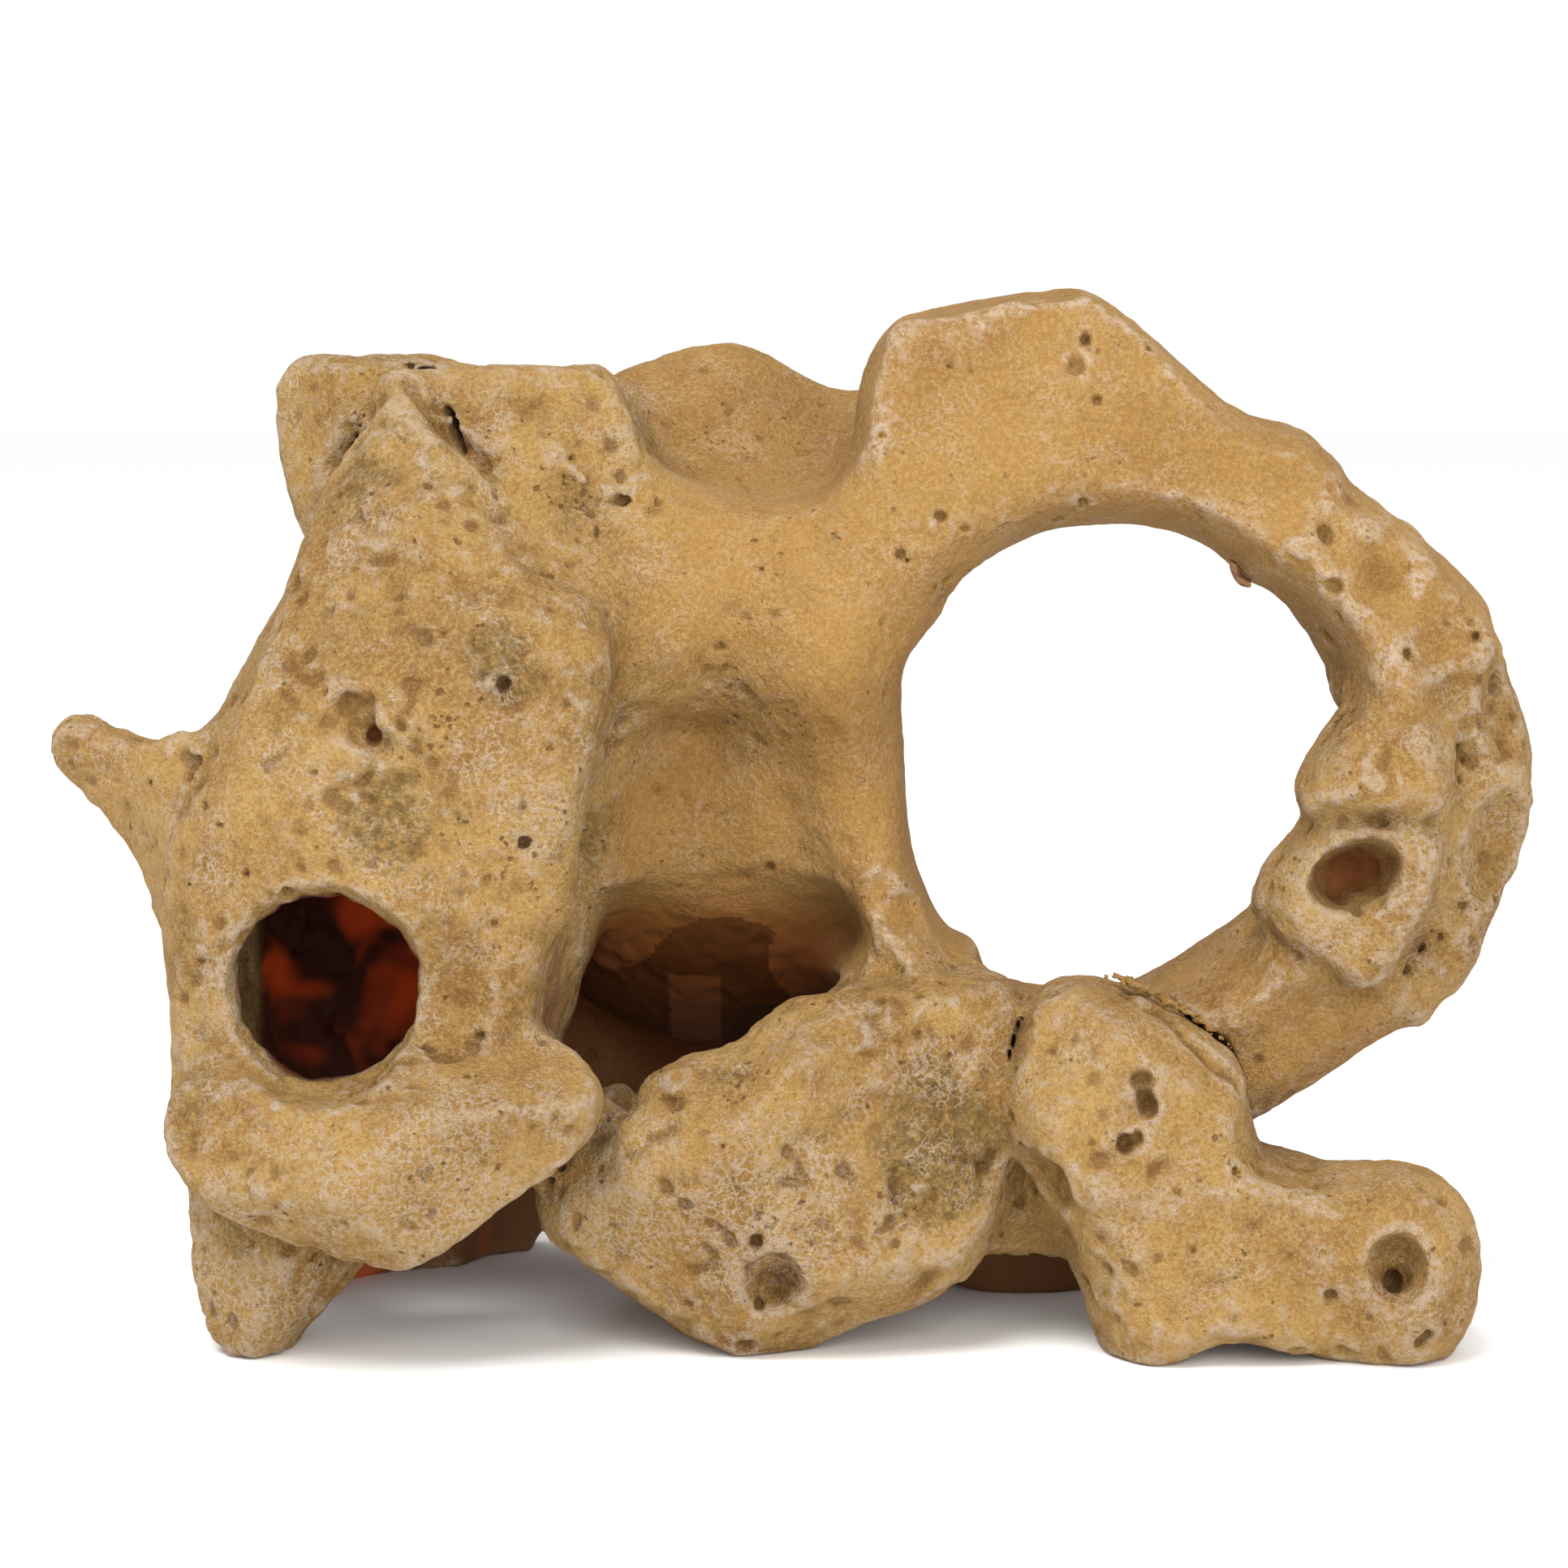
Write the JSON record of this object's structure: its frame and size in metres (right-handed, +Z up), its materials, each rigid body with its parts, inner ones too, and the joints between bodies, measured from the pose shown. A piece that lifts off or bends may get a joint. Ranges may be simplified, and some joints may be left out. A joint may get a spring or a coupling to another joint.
{
  "type": "aquarium cave ornament",
  "caption": "Hollow cast-resin rock ornament with a round entrance, a wide cave mouth and a large swim-through ring, standing on stub feet.",
  "frame": {"origin": "on the tank floor, in the middle of the ornament's footprint box", "axes": "+X to the right seen from the front, along the longest extent; +Y to the rear, along the ring's axis; +Z up"},
  "size_m": [0.2474, 0.122, 0.1727],
  "materials": {
    "painted_stone": "rough cast resin, painted ochre, with pale dry-brushed edges and darker stained hollows",
    "filler": "crumbly resin filler",
    "bare_resin": "unpainted smooth brown resin"
  },
  "bodies": {
    "root": {"left_tower": "painted_stone", "front_ledge": "painted_stone", "left_foot": "painted_stone", "left_spur": "painted_stone", "rear_knob": "painted_stone", "top_slab": "painted_stone", "saddle_bowl": "painted_stone", "centre_wall": "painted_stone", "rear_wall": "painted_stone", "arch_crown": "painted_stone", "arch_shoulder": "painted_stone", "arch_flank": "painted_stone", "arch_sill": "painted_stone", "arch_pillar": "painted_stone", "arch_nose": "painted_stone", "arch_boss": "painted_stone", "centre_stone": "painted_stone", "right_boulder": "painted_stone", "end_knob": "painted_stone", "rear_foot": "painted_stone", "boulder_filler": "filler", "resin_drip": "bare_resin"}
  },
  "joints": []
}
